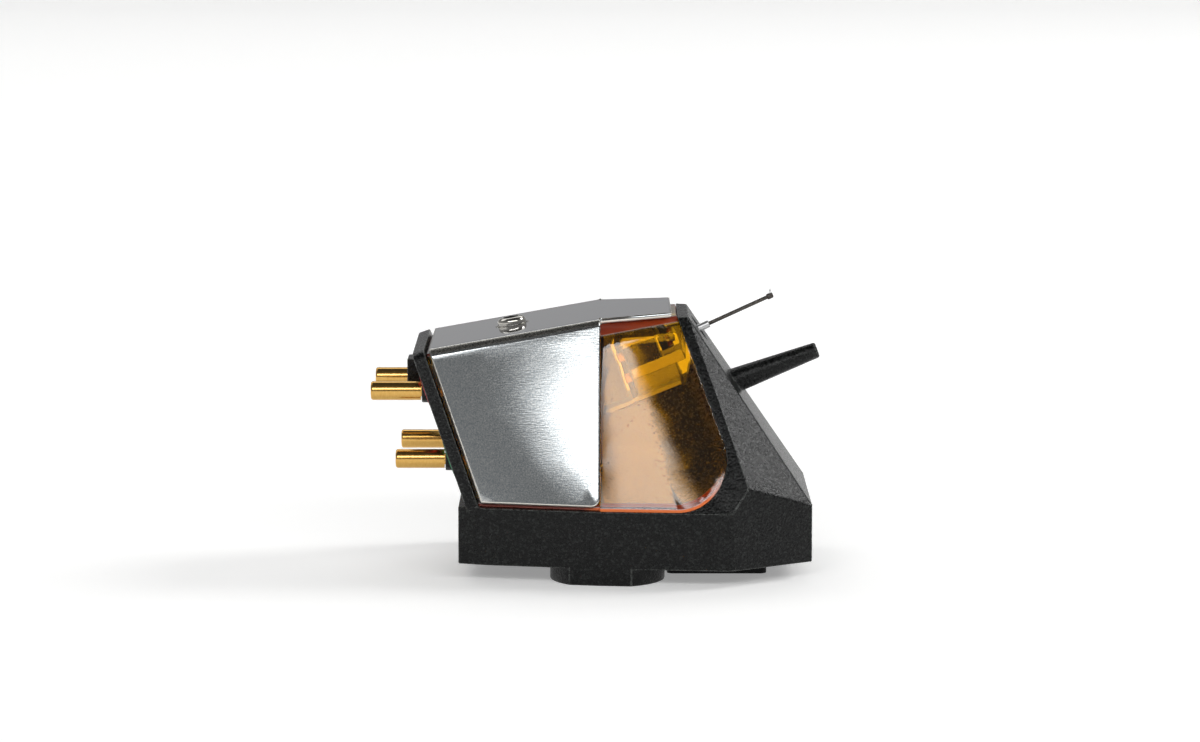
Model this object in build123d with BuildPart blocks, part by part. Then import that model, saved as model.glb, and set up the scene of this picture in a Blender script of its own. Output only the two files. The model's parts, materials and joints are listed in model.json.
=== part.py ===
"""Moving-coil stylus cartridge for a record player, shown standing on its mounting bosses.

Frame: +X to the front of the cartridge, +Z towards the stylus, mounting face at z = 0,
origin midway between the two mounting holes. All lengths are in millimetres.
"""
from build123d import *
from collections import namedtuple
from math import atan2, cos, radians, sin, tan
import os

os.makedirs("parts", exist_ok=True)

# Mounting side: two holes on the half-inch pitch, each in a round boss, and a third in a front pad
hole_pitch = 12.7
hole_radius = 1.05
hole_depth = 4.0
boss_radius = 3.74
land_height = 1.1
third_hole_x = 7.0
pad_rear_x = 3.9
pad_front_x = 10.45
pad_half = 5.0
pad_corner = 0.4

# Plinth: a flat faceted slab, half of its plan from the rear to the nose
plinth_top = 4.85
heel_x, heel_half = -9.7, 7.4
waist_x, waist_half = -7.9, 8.05
crease_x, crease_half = -0.48, 9.55
shoulder_x, shoulder_half = 8.0, 10.4
nose_x, nose_half = 13.35, 6.7
shoulder_flat = 0.6

# Housing above the plinth: three slanted stations that the covers and the front frame share
rear_foot_x = -8.35
rear_lean = 19.8
rear_top_z = 14.89
front_foot_x = 9.7
front_lean = 20.5
front_top_z = 17.25
crease_top_z = 16.92
rear_top_half = 5.88
crease_top_half = 5.88
front_top_half = 3.33
rear_ledge = 0.25
side_ledge = 0.08

# Shares of a bay that a loft runs on past its last station: the nose, and a cut that has to break out
nose_run = 0.5
cut_run = 0.1

# Longer than the whole part, for cuts and trims that run right through it
beyond = 30.0

# Front frame, finger and rear wall of the body moulding
lip_z = 16.82
nose_lean = 33.9
nose_bevel = 0.3
cheek_bevel = 0.28
frame_wall = 0.9
frame_rim = 1.6
rear_wall = 0.8
rear_wall_margin = 0.12
finger_lean = 20.7
finger_root_z = 12.12
finger_length = 5.85
finger_root_radius = 0.86
finger_tip_radius = 0.52
finger_sink = 0.5
finger_edge = 0.08
aperture_radius = 0.95
lug_half, lug_low_z, lug_high_z, lug_x = 1.2, 12.1, 13.72, -13.22

# Covers: folded steel sheet over a clear moulding
sheet = 0.35
seat_gap = 0.02
bend_radius = 0.8
sheet_rear_gap = 0.2
sheet_foot_z = 5.1
sheet_corner = 0.6
tongue_front_x = 4.2
tongue_front_half = 4.2
tongue_rear_half = 5.35
cover_wall = 1.2
cover_roof = 0.5
cover_shoulder = 0.75
cover_shoulder_front = 0.3
cover_front_top_x = 4.55
cover_front_lean = 21.0
cover_corner = 3.2

# Set screw, square to the sloping top plate
screw_x = -6.31
screw_radius = 0.93
screw_proud = 0.5
screw_thread = 3.2
screw_edge = 0.12
socket_width = 0.95
socket_depth = 0.7
thread_gap = 0.02
post_radius = 1.6
screw_clearance = 0.1

# Output pins, with square shanks that can't turn in the wall, and their colour washers
pin_radius = 0.625
pin_bevel = 0.14
pin_gap = 0.015
pin_inside = 1.0
shank_width = 0.66
pin_neck = 0.06
upper_pin_y, upper_pin_z, upper_tip_x = 3.43, 11.92, -15.52
lower_pin_y, lower_pin_z, lower_tip_x = 4.4, 7.56, -13.87
collar_radius = 0.78
collar_proud = 0.42
washer_radius = 1.6
washer_bore = 0.92
washer_thick = 0.15

# Generator, tilted up to the front about the stylus arm's pivot, set down from the lower end of the flat top
pivot_x, pivot_drop = 3.74, 2.36
pivot_z = min(crease_top_z, front_top_z) - pivot_drop
generator_lean = 21.0
magnet_rear, magnet_front = -2.9, -0.65
pole_front = 0.8
pole_inner = 0.715
pole_thick = 0.72
pole_half = 1.5
magnet_half = 1.3
carrier_rear, carrier_front = -5.2, 0.1
carrier_top, carrier_thick = -2.48, 0.27
carrier_half = 2.6
board_thick = 0.35
board_half = 2.3
board_top = 1.3
tag_high, tag_low = 0.45, -1.07
tag_long, tag_tall, tag_thick = 0.45, 0.65, 0.25
pedestal_half = 1.8
pedestal_setback = 0.4

# Stylus arm
arm_lean = 24.6
pivot_gap = 0.03
damper_radius = 0.55
damper_thick = 0.46
armature_thick = 0.22
spoke_long, spoke_wide = 0.62, 0.2
spoke_angle = 45
hub_radius = 0.3
coil_start, coil_end = 0.33, 0.58
coil_build = 0.08
coil_gap = 0.01
sleeve_end = 3.3
sleeve_radius = 0.25
rod_start, rod_end = 1.0, 7.95
rod_radius = 0.125
rod_gap = 0.008
bead_start, bead_radius = 7.5, 0.2
stylus_at = 7.74
stylus_width = 0.13
stylus_rise = 3.7
stylus_tip_z = pivot_z + stylus_rise
stylus_point = 0.14
stylus_tip_width = 0.016

# Station: one slanted cross-section of the housing, by its foot and top
Station = namedtuple("Station", "foot_x top_x foot_half top_half top_z")


def plinth_half_at(x):
    """Half of the plinth's width at x, along its rear and middle facets."""
    if x < waist_x:
        return heel_half + (x - heel_x) * (waist_half - heel_half) / (waist_x - heel_x)
    if x < crease_x:
        return waist_half + (x - waist_x) * (crease_half - waist_half) / (crease_x - waist_x)
    return crease_half + (x - crease_x) * (shoulder_half - crease_half) / (shoulder_x - crease_x)


def slanted_x(foot_x, lean, z):
    """Place at height z of a line that leans back from its foot on the plinth."""
    return foot_x - (z - plinth_top) * tan(radians(lean))


def between(start, end, share):
    """Station part of the way from one to the next, or beyond either."""
    return Station(*(a + (b - a) * share for a, b in zip(start, end)))


def station_plane(station):
    """Plane of a station, with its own x along Y and its own y up the slant."""
    lean = atan2(station.foot_x - station.top_x, station.top_z - plinth_top)
    return Plane((station.foot_x, 0, plinth_top), x_dir=(0, 1, 0), z_dir=(cos(lean), 0, sin(lean)))


def station_outline(station, inset=0.0, drop=0.0, radius=0.0):
    """Face of a station, narrowed by inset and lowered by drop, with round top corners."""
    lean = atan2(station.foot_x - station.top_x, station.top_z - plinth_top)
    full = (station.top_z - plinth_top) / cos(lean)
    top = full - drop
    foot = station.foot_half - inset
    crown = station.foot_half + (station.top_half - station.foot_half) * top / full - inset
    with BuildSketch(station_plane(station)) as outline:
        with BuildLine():
            Polyline((-foot, 0), (foot, 0), (crown, top), (-crown, top), close=True)
        make_face()
        if radius > 0:
            fillet(outline.vertices().group_by(Axis.Y)[-1], radius)
    return outline.sketch


def plan_outline(height, inset=0.0):
    """Plan of the plinth as a face at a height, drawn in by inset."""
    half = [
        (heel_x, heel_half),
        (waist_x, waist_half),
        (crease_x, crease_half),
        (shoulder_x, shoulder_half),
        (nose_x, nose_half),
    ]
    with BuildSketch(Plane.XY.offset(height)) as plan:
        with BuildLine():
            Polyline(*half, *[(x, -y) for x, y in reversed(half)], close=True)
        make_face()
        if inset > 0:
            offset(amount=-inset, kind=Kind.INTERSECTION)
    return plan.sketch


def tilted(lean, along, up):
    """Point in the XZ plane, along and up from the pivot in axes tilted by lean."""
    angle = radians(lean)
    return (
        pivot_x + along * cos(angle) - up * sin(angle),
        pivot_z + along * sin(angle) + up * cos(angle),
    )


def across_arm(along):
    """Plane square to the stylus arm, at a distance along it from the pivot."""
    x, z = tilted(arm_lean, along, 0)
    angle = radians(arm_lean)
    return Plane((x, 0, z), x_dir=(0, 1, 0), z_dir=(cos(angle), 0, sin(angle)))


def both_sides(point, normal):
    """Plane through a point and its mirror image on the other side of the part."""
    return [
        Plane(origin=(point.X, side * point.Y, point.Z), z_dir=(normal.X, side * normal.Y, normal.Z))
        for side in (1, -1)
    ]


def edge_planes(point, first_normal, second_normal, width):
    """Planes that cut a bevel of a width along an edge through a point, and along its mirror image."""
    normal = (first_normal.normalized() + second_normal.normalized()).normalized()
    turn = radians(first_normal.get_angle(normal))
    return both_sides(point - normal * (width / 2 * tan(turn)), normal)


def keep(builder, name):
    """Label a finished piece and write it."""
    builder.part.label = name
    export_step(builder.part, f"parts/{name}.step")


rear = Station(
    rear_foot_x,
    slanted_x(rear_foot_x, rear_lean, rear_top_z),
    plinth_half_at(rear_foot_x) - rear_ledge,
    rear_top_half,
    rear_top_z,
)
crease = Station(crease_x, crease_x, crease_half - side_ledge, crease_top_half, crease_top_z)
front = Station(
    front_foot_x,
    slanted_x(front_foot_x, front_lean, front_top_z),
    plinth_half_at(front_foot_x) - side_ledge,
    front_top_half,
    front_top_z,
)

rear_angle = radians(rear_lean)
nose_slope = tan(radians(nose_lean))
plate_angle = atan2(crease.top_z - rear.top_z, crease.top_x - rear.top_x)
plate_normal = (-sin(plate_angle), 0, cos(plate_angle))
screw_top_z = crease.top_z + (screw_x - crease.top_x) * tan(plate_angle)
front_slope = (front.top_z - crease.top_z) / (front.top_x - crease.top_x)
generator_plane = Plane(
    (pivot_x, 0, pivot_z),
    x_dir=(cos(radians(generator_lean)), 0, sin(radians(generator_lean))),
    z_dir=(0, -1, 0),
)
wall_plane = station_plane(rear)
tongue_front_z = crease.top_z + (tongue_front_x - crease.top_x) * front_slope
wall_depth = rear_wall / cos(rear_angle)
rear_bay = crease.foot_x - rear.foot_x
nose_end = between(crease, front, 1 + nose_run)


def cover_profile(margin=0.0):
    """Side view of the clear cover, with its round lower front corner, widened by margin."""
    slope = tan(radians(cover_front_lean))
    front_top_x = cover_front_top_x - (beyond - lip_z) * slope + margin
    front_low_x = cover_front_top_x + (lip_z - plinth_top) * slope + margin
    with BuildSketch(Plane.XZ) as profile:
        with BuildLine():
            Polyline(
                (-beyond, plinth_top),
                (front_low_x, plinth_top),
                (front_top_x, beyond),
                (-beyond, beyond),
                close=True,
            )
        make_face()
        corner = profile.vertices().group_by(Axis.Y)[0].sort_by(Axis.X)[-1]
        fillet(corner, cover_corner)
    return profile.sketch


def roof_profile(drop):
    """Side view of the front bay under its flat top, lowered by drop."""
    with BuildSketch(Plane.XZ) as profile:
        with BuildLine():
            Polyline(
                (crease_x, plinth_top),
                (beyond, plinth_top),
                (beyond, crease.top_z - drop + (beyond - crease_x) * front_slope),
                (crease_x, crease.top_z - drop),
                close=True,
            )
        make_face()
    return profile.sketch


def nose_profile(wall=0.0):
    """Side view of the front frame behind its slanted nose, up to the lip, less a wall."""
    back = wall / cos(radians(nose_lean))
    nose_top_x = nose_x - (lip_z - plinth_top) * nose_slope - back
    with BuildSketch(Plane.XZ) as profile:
        with BuildLine():
            Polyline(
                (crease_x, plinth_top),
                (nose_x - back, plinth_top),
                (nose_top_x, lip_z),
                (crease_x, lip_z),
                close=True,
            )
        make_face()
    return profile.sketch


# Corner points of the cheek, the slanted facet between the side and the nose
lip_share = (lip_z - plinth_top) / (front.top_z - plinth_top)
lip_corner = Vector(
    nose_x - (lip_z - plinth_top) * nose_slope,
    front.foot_half + (front.top_half - front.foot_half) * lip_share,
    lip_z,
)
nose_corner = Vector(nose_x, nose_half, plinth_top)
foot_corner = Vector(front.foot_x, front.foot_half, plinth_top)
facet_slope = (shoulder_half - nose_half) / (nose_x - shoulder_x)
rise = lip_corner - foot_corner
facet_share = (foot_corner.Y - shoulder_half + (foot_corner.X - shoulder_x) * facet_slope) / (
    -rise.Y - rise.X * facet_slope
)
cheek_corner = foot_corner + rise * facet_share
cheek_normal = (cheek_corner - nose_corner).cross(lip_corner - nose_corner)
if cheek_normal.X < 0:
    cheek_normal = -cheek_normal
cheek_planes = both_sides(nose_corner, cheek_normal)

# Bevels along the edges of each cheek, towards the nose and towards the plinth's front facet
nose_normal = Vector(cos(radians(nose_lean)), 0, sin(radians(nose_lean)))
facet_normal = Vector(facet_slope, 1, 0)
nose_edges = edge_planes(nose_corner, nose_normal, cheek_normal, nose_bevel)
cheek_edges = edge_planes(nose_corner, facet_normal, cheek_normal, cheek_bevel)

# Front frame: the plan carried up, trimmed by the housing's sides, the nose and the two cheeks
with BuildPart() as frame:
    add(plan_outline(plinth_top))
    extrude(amount=lip_z - plinth_top)
    extrude(nose_profile(), amount=beyond, both=True, mode=Mode.INTERSECT)
    loft(
        [station_outline(crease), station_outline(front), station_outline(nose_end)],
        ruled=True,
        mode=Mode.INTERSECT,
    )
    for plane in cheek_planes + nose_edges + cheek_edges:
        split(bisect_by=plane, keep=Keep.BOTTOM)
    extrude(cover_profile(seat_gap), amount=beyond, both=True, mode=Mode.SUBTRACT)

# Hollow of the front frame, in front of the generator
with BuildPart() as hollow:
    add(plan_outline(plinth_top, frame_rim))
    extrude(amount=lip_z - plinth_top)
    extrude(nose_profile(frame_wall), amount=beyond, both=True, mode=Mode.INTERSECT)
    with BuildSketch(Plane.YZ):
        with BuildLine():
            foot = front.foot_half - frame_rim
            crown = front.top_half - frame_rim
            Polyline(
                (-foot, plinth_top),
                (foot, plinth_top),
                (crown, front_top_z),
                (-crown, front_top_z),
                close=True,
            )
        make_face()
    extrude(amount=beyond, both=True, mode=Mode.INTERSECT)
    for plane in cheek_planes:
        split(bisect_by=plane.offset(-frame_wall), keep=Keep.BOTTOM)

# Planes of the shoulder flats: through the shoulder's top, deeper towards the foot
middle_turn = atan2(shoulder_half - crease_half, shoulder_x - crease_x)
front_turn = -atan2(shoulder_half - nose_half, nose_x - shoulder_x)
shoulder_turn = (middle_turn + front_turn) / 2
flat_depth = shoulder_flat / 2 * tan((middle_turn - front_turn) / 2)
flat_lean = atan2(flat_depth, plinth_top - land_height)
shoulder_normal = Vector(-sin(shoulder_turn), cos(shoulder_turn), -tan(flat_lean))
shoulder_planes = both_sides(Vector(shoulder_x, shoulder_half, plinth_top), shoulder_normal)

pins = [
    ("red", -upper_pin_y, upper_pin_z, upper_tip_x),
    ("green", -lower_pin_y, lower_pin_z, lower_tip_x),
    ("white", upper_pin_y, upper_pin_z, upper_tip_x),
    ("blue", lower_pin_y, lower_pin_z, lower_tip_x),
]

finger_angle = radians(finger_lean)
finger_x = nose_x - (finger_root_z - plinth_top) * nose_slope
finger_axis = Vector(cos(finger_angle), 0, sin(finger_angle))
finger_root = Vector(finger_x, 0, finger_root_z) - finger_axis * finger_sink
finger_tip = Vector(finger_x, 0, finger_root_z) + finger_axis * finger_length
screw_seat = Vector(screw_x, 0, screw_top_z)
screw_axis = Vector(*plate_normal)
screw_plane = Plane(screw_seat, x_dir=(0, 1, 0), z_dir=screw_axis)
cover_depth = sheet + seat_gap + cover_roof
post_top = screw_seat - screw_axis * (cover_depth + seat_gap)

# Body moulding: plinth, bosses, front frame with finger, rear wall with pin collars, screw post, pedestal
with BuildPart() as body:
    add(plan_outline(land_height))
    extrude(amount=plinth_top - land_height)
    for plane in shoulder_planes + cheek_edges:
        split(bisect_by=plane, keep=Keep.BOTTOM)
    with BuildSketch():
        with Locations((0, hole_pitch / 2), (0, -hole_pitch / 2)):
            Circle(boss_radius)
        with Locations(((pad_rear_x + pad_front_x) / 2, 0)):
            RectangleRounded(pad_front_x - pad_rear_x, 2 * pad_half, pad_corner)
        add(plan_outline(0), mode=Mode.INTERSECT)
    extrude(amount=land_height)
    add(frame.part)
    add(hollow.part, mode=Mode.SUBTRACT)
    with BuildSketch(Plane(finger_root, x_dir=(0, 1, 0), z_dir=finger_axis)):
        Circle(finger_root_radius)
    with BuildSketch(Plane(finger_tip, x_dir=(0, 1, 0), z_dir=finger_axis)):
        Circle(finger_tip_radius)
    loft()
    chamfer(body.edges().sort_by(Axis.X)[-1], finger_edge)
    extrude(station_outline(rear, -rear_wall_margin, 0, bend_radius), amount=-rear_wall)
    with BuildSketch(Plane.XZ):
        with BuildLine():
            Polyline(
                (lug_x, lug_low_z),
                (slanted_x(rear_foot_x, rear_lean, lug_low_z) - wall_depth / 2, lug_low_z),
                (slanted_x(rear_foot_x, rear_lean, lug_high_z) - wall_depth / 2, lug_high_z),
                (lug_x, lug_high_z),
                close=True,
            )
        make_face()
    extrude(amount=lug_half, both=True)
    for colour, pin_y, pin_z, tip_x in pins:
        wall_x = slanted_x(rear_foot_x, rear_lean, pin_z) - wall_depth
        with BuildSketch(Plane.YZ.offset(wall_x - collar_proud)):
            with Locations((pin_y, pin_z)):
                Circle(collar_radius)
        extrude(amount=collar_proud + wall_depth)
        with BuildSketch(Plane.YZ.offset(wall_x - collar_proud)):
            with Locations((pin_y, pin_z)):
                Rectangle(shank_width + 2 * pin_gap, shank_width + 2 * pin_gap)
        extrude(amount=collar_proud + wall_depth + pin_inside, mode=Mode.SUBTRACT)
    with BuildSketch(Plane(post_top, x_dir=(0, 1, 0), z_dir=screw_axis)):
        Circle(post_radius)
    extrude(amount=-(post_top.Z - (land_height + plinth_top) / 2) / screw_axis.Z)
    with BuildSketch(Plane(post_top, x_dir=(0, 1, 0), z_dir=screw_axis)):
        Circle(screw_radius + thread_gap)
    extrude(amount=-screw_thread - thread_gap, mode=Mode.SUBTRACT)
    with BuildSketch(Plane.XZ):
        with BuildLine():
            low = tilted(generator_lean, carrier_rear + pedestal_setback, carrier_top - carrier_thick)
            high = tilted(generator_lean, carrier_front - pedestal_setback, carrier_top - carrier_thick)
            Polyline((low[0], plinth_top), low, high, (high[0], plinth_top), close=True)
        make_face()
    extrude(amount=pedestal_half, both=True)
    with BuildSketch(across_arm(rod_start)):
        Circle(aperture_radius)
    extrude(amount=sleeve_end, mode=Mode.SUBTRACT)
    with BuildSketch():
        with Locations((0, hole_pitch / 2), (0, -hole_pitch / 2), (third_hole_x, 0)):
            Circle(hole_radius)
    extrude(amount=hole_depth, mode=Mode.SUBTRACT)
keep(body, "body_moulding")

# Sheet cover: top plate and two side panels in one fold, with a flat tongue to the front
with BuildPart() as sheet_cover:
    sheet_rear = between(rear, crease, sheet_rear_gap / rear_bay)
    loft(
        [station_outline(sheet_rear, 0, 0, bend_radius), station_outline(crease, 0, 0, bend_radius)],
        ruled=True,
    )
    loft(
        [
            station_outline(between(rear, crease, -cut_run), sheet, sheet, bend_radius - sheet),
            station_outline(between(rear, crease, 1 + cut_run), sheet, sheet, bend_radius - sheet),
        ],
        ruled=True,
        mode=Mode.SUBTRACT,
    )
    with BuildSketch(Plane.XZ) as panel:
        with BuildLine():
            Polyline(
                (-beyond, sheet_foot_z),
                (crease_x, sheet_foot_z),
                (crease_x, beyond),
                (-beyond, beyond),
                close=True,
            )
        make_face()
        fillet(panel.vertices().group_by(Axis.Y)[0].sort_by(Axis.X)[-1], sheet_corner)
    extrude(amount=beyond, both=True, mode=Mode.INTERSECT)
    with BuildSketch(Plane.XZ):
        with BuildLine():
            Polyline(
                (crease_x, crease_top_z),
                (tongue_front_x, tongue_front_z),
                (tongue_front_x, tongue_front_z - sheet),
                (crease_x, crease_top_z - sheet),
                close=True,
            )
        make_face()
    extrude(amount=beyond, both=True)
    with BuildSketch(Plane.XY.offset(sheet_foot_z)):
        with BuildLine():
            Polyline(
                (-beyond, beyond),
                (crease_x, beyond),
                (crease_x, tongue_rear_half),
                (tongue_front_x, tongue_front_half),
                (tongue_front_x, -tongue_front_half),
                (crease_x, -tongue_rear_half),
                (crease_x, -beyond),
                (-beyond, -beyond),
                close=True,
            )
        make_face()
    extrude(amount=beyond, mode=Mode.INTERSECT)
    with BuildSketch(screw_plane):
        Circle(screw_radius + screw_clearance)
    extrude(amount=cover_depth, both=True, mode=Mode.SUBTRACT)
keep(sheet_cover, "sheet_cover")

# Clear cover under the sheet: each side is two flats that meet along the diagonal of the rear bay
sunk = sheet + seat_gap
inner = sunk + cover_wall
rear_foot_corner = Vector(rear.foot_x, rear.foot_half, plinth_top)
rear_top_corner = Vector(rear.top_x, rear.top_half, rear.top_z)
crease_foot_corner = Vector(crease.foot_x, crease.foot_half, plinth_top)
crease_top_corner = Vector(crease.top_x, crease.top_half, crease.top_z)


def flat_normal(third_corner):
    """Outward normal of the flat through the diagonal and a third corner of the rear bay."""
    normal = (third_corner - rear_foot_corner).cross(crease_top_corner - rear_foot_corner)
    return normal if normal.Y > 0 else -normal


def rear_space(third_corner, inset, drop):
    """Rear bay under its roof, lowered by drop, between two flats that are drawn in by inset."""
    run = crease.top_x - rear.top_x + rear_bay
    roof_z = crease.top_z - drop
    with BuildPart() as space:
        with BuildSketch(Plane.XZ):
            with BuildLine():
                Polyline(
                    (crease_x - run, plinth_top),
                    (crease_x, plinth_top),
                    (crease_x, roof_z),
                    (crease_x - run, roof_z - run * tan(plate_angle)),
                    close=True,
                )
            make_face()
        extrude(amount=beyond, both=True)
        for plane in both_sides(rear_foot_corner - Vector(0, inset, 0), flat_normal(third_corner)):
            split(bisect_by=plane, keep=Keep.BOTTOM)
    return space.part


third_corners = (rear_top_corner, crease_foot_corner)
bend_edges = edge_planes(
    crease_top_corner - Vector(0, sunk, sunk),
    Vector(*plate_normal),
    flat_normal(rear_top_corner),
    2 * (bend_radius - sheet),
)

# Shoulder of the clear cover in front of the crease: a bevel that narrows towards the front
side_share = cover_shoulder / (crease.top_z - plinth_top)
shoulder_low = crease_top_corner + (crease_foot_corner - crease_top_corner) * side_share - Vector(0, 0, sunk)
shoulder_rear = crease_top_corner - Vector(0, cover_shoulder, sunk)
shoulder_front = Vector(front.top_x, front.top_half - cover_shoulder_front, front.top_z - sunk)
shoulder_cut = (shoulder_rear - shoulder_low).cross(shoulder_front - shoulder_low)
if shoulder_cut.Z < 0:
    shoulder_cut = -shoulder_cut

with BuildPart() as front_bay:
    loft([station_outline(crease), station_outline(front)], ruled=True)
    extrude(roof_profile(sunk), amount=beyond, both=True, mode=Mode.INTERSECT)
    for plane in both_sides(shoulder_low, shoulder_cut):
        split(bisect_by=plane, keep=Keep.BOTTOM)

with BuildPart() as front_hollow:
    loft(
        [station_outline(crease, inner), station_outline(between(crease, front, 1 + cut_run), inner)],
        ruled=True,
    )
    extrude(roof_profile(sunk + cover_roof), amount=beyond, both=True, mode=Mode.INTERSECT)

# Clear cover: a thick moulded shell, sunk under the sheet at the rear and flush with it at the front
rear_shell = [rear_space(corner, sunk, sunk) for corner in third_corners]
rear_hollow = [rear_space(corner, inner, sunk + cover_roof) for corner in third_corners]
with BuildPart() as clear_cover:
    add(rear_shell)
    split(bisect_by=wall_plane.offset(seat_gap), keep=Keep.TOP)
    for plane in bend_edges:
        split(bisect_by=plane, keep=Keep.BOTTOM)
    add(front_bay.part)
    extrude(cover_profile(), amount=beyond, both=True, mode=Mode.INTERSECT)
    add(rear_hollow, mode=Mode.SUBTRACT)
    add(front_hollow.part, mode=Mode.SUBTRACT)
    with BuildSketch(screw_plane):
        Circle(screw_radius + screw_clearance)
    extrude(amount=2 * cover_depth, both=True, mode=Mode.SUBTRACT)
keep(clear_cover, "clear_cover")

# Set screw with a hexagon socket, through both covers into the post
with BuildPart() as set_screw:
    with BuildSketch(screw_plane.offset(screw_proud)):
        Circle(screw_radius)
    extrude(amount=-(screw_proud + cover_depth + seat_gap + screw_thread))
    chamfer(set_screw.edges().sort_by(Axis.Z)[-1], screw_edge)
    with BuildSketch(screw_plane.offset(screw_proud)):
        RegularPolygon(socket_width / 2, 6, major_radius=False)
    extrude(amount=-socket_depth, mode=Mode.SUBTRACT)
keep(set_screw, "set_screw")

# Output pins and their colour washers
for colour, pin_y, pin_z, tip_x in pins:
    wall_x = slanted_x(rear_foot_x, rear_lean, pin_z) - wall_depth
    inner_x = wall_x + wall_depth + pin_inside
    body_x = wall_x - collar_proud - pin_neck
    with BuildPart() as pin:
        with BuildSketch(Plane.YZ.offset(tip_x)):
            with Locations((pin_y, pin_z)):
                Circle(pin_radius)
        extrude(amount=body_x - tip_x)
        chamfer(pin.edges().sort_by(Axis.X)[0], pin_bevel)
        with BuildSketch(Plane.YZ.offset(body_x)):
            with Locations((pin_y, pin_z)):
                Rectangle(shank_width, shank_width)
        extrude(amount=inner_x - body_x)
    keep(pin, f"pin_{colour}")
    with BuildPart() as washer:
        with BuildSketch(Plane((wall_x, pin_y, pin_z), x_dir=(0, 1, 0), z_dir=wall_plane.z_dir)):
            Circle(washer_radius)
            Circle(washer_bore, mode=Mode.SUBTRACT)
        extrude(amount=-washer_thick)
    keep(washer, f"washer_{colour}")


def generator_block(along, up, half):
    """Block of the generator between two distances along its axis and two up from it."""
    with BuildPart() as block:
        with BuildSketch(generator_plane):
            with Locations(((along[0] + along[1]) / 2, (up[0] + up[1]) / 2)):
                Rectangle(along[1] - along[0], up[1] - up[0])
        extrude(amount=half, both=True)
    return block


# Generator: carrier, magnet between two poles, and the board where the coils end
carrier_low = carrier_top - carrier_thick
pole_outer = pole_inner + pole_thick
with BuildPart() as carrier:
    add(generator_block((carrier_rear, carrier_front), (carrier_low, carrier_top), carrier_half).part)
    add(generator_block((magnet_rear, carrier_front), (carrier_top, -pole_outer), magnet_half).part)
keep(carrier, "generator_carrier")
keep(generator_block((magnet_rear, magnet_front), (-pole_inner, pole_inner), magnet_half), "magnet")
keep(generator_block((magnet_rear, pole_front), (-pole_outer, -pole_inner), pole_half), "lower_pole")
keep(generator_block((magnet_rear, pole_front), (pole_inner, pole_outer), pole_half), "upper_pole")
board_rear = magnet_rear - board_thick
keep(generator_block((board_rear, magnet_rear), (carrier_top, board_top), board_half), "coil_board")
with BuildPart() as tags:
    board_middle = magnet_rear - board_thick / 2
    with BuildSketch(generator_plane.offset(board_half), generator_plane.offset(-board_half - tag_thick)):
        with Locations((board_middle, tag_high), (board_middle, tag_low)):
            Rectangle(tag_long, tag_tall)
    extrude(amount=tag_thick)
keep(tags, "solder_tags")

# Stylus arm: damper, cross-shaped armature with its coils, sleeve, rod, bead and diamond
with BuildPart() as damper:
    with BuildSketch(across_arm(-pivot_gap)):
        Circle(damper_radius)
    extrude(amount=-damper_thick)
keep(damper, "damper")

with BuildPart() as armature:
    with BuildSketch(across_arm(pivot_gap)):
        Rectangle(2 * spoke_long, spoke_wide, rotation=spoke_angle)
        Rectangle(2 * spoke_long, spoke_wide, rotation=-spoke_angle)
        Circle(hub_radius)
    extrude(amount=armature_thick)
keep(armature, "armature")

for side, angle in (("left", spoke_angle), ("right", -spoke_angle)):
    with BuildPart() as coil:
        with BuildSketch(across_arm(pivot_gap - coil_build)):
            with PolarLocations((coil_start + coil_end) / 2, 2, start_angle=angle):
                Rectangle(coil_end - coil_start, spoke_wide + 2 * coil_build)
        extrude(amount=armature_thick + 2 * coil_build)
        with BuildSketch(across_arm(pivot_gap - coil_gap)):
            Rectangle(2 * spoke_long, spoke_wide + 2 * coil_gap, rotation=angle)
        extrude(amount=armature_thick + 2 * coil_gap, mode=Mode.SUBTRACT)
    keep(coil, f"coil_{side}")

with BuildPart() as sleeve:
    with BuildSketch(across_arm(pivot_gap + armature_thick)):
        Circle(sleeve_radius)
    extrude(amount=sleeve_end - pivot_gap - armature_thick)
    with BuildSketch(across_arm(rod_start)):
        Circle(rod_radius + rod_gap)
    extrude(amount=sleeve_end - rod_start, mode=Mode.SUBTRACT)
keep(sleeve, "cantilever_sleeve")

with BuildPart() as rod:
    with BuildSketch(across_arm(rod_start)):
        Circle(rod_radius)
    extrude(amount=rod_end - rod_start)
keep(rod, "cantilever_rod")

stylus_x, stylus_foot_z = tilted(arm_lean, stylus_at, 0)
with BuildPart() as stylus:
    with BuildSketch(Plane((stylus_x, 0, stylus_foot_z))):
        Rectangle(stylus_width, stylus_width)
    extrude(amount=stylus_tip_z - stylus_point - stylus_foot_z)
    with BuildSketch(Plane((stylus_x, 0, stylus_tip_z - stylus_point))):
        Rectangle(stylus_width, stylus_width)
    with BuildSketch(Plane((stylus_x, 0, stylus_tip_z))):
        Rectangle(stylus_tip_width, stylus_tip_width)
    loft()
    with BuildSketch(across_arm(rod_start)):
        Circle(rod_radius + rod_gap)
    extrude(amount=rod_end, mode=Mode.SUBTRACT)
keep(stylus, "stylus")

with BuildPart() as bead:
    with BuildSketch(across_arm(bead_start)):
        Circle(bead_radius)
    extrude(amount=rod_end - bead_start)
    chamfer(bead.edges().filter_by(GeomType.CIRCLE), bead_radius - rod_radius - rod_gap)
    with BuildSketch(across_arm(rod_start)):
        Circle(rod_radius + rod_gap)
    extrude(amount=rod_end, mode=Mode.SUBTRACT)
    with BuildSketch(Plane((stylus_x, 0, stylus_foot_z))):
        Rectangle(stylus_width + 2 * rod_gap, stylus_width + 2 * rod_gap)
    extrude(amount=stylus_tip_z - stylus_foot_z, mode=Mode.SUBTRACT)
keep(bead, "bead")
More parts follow.
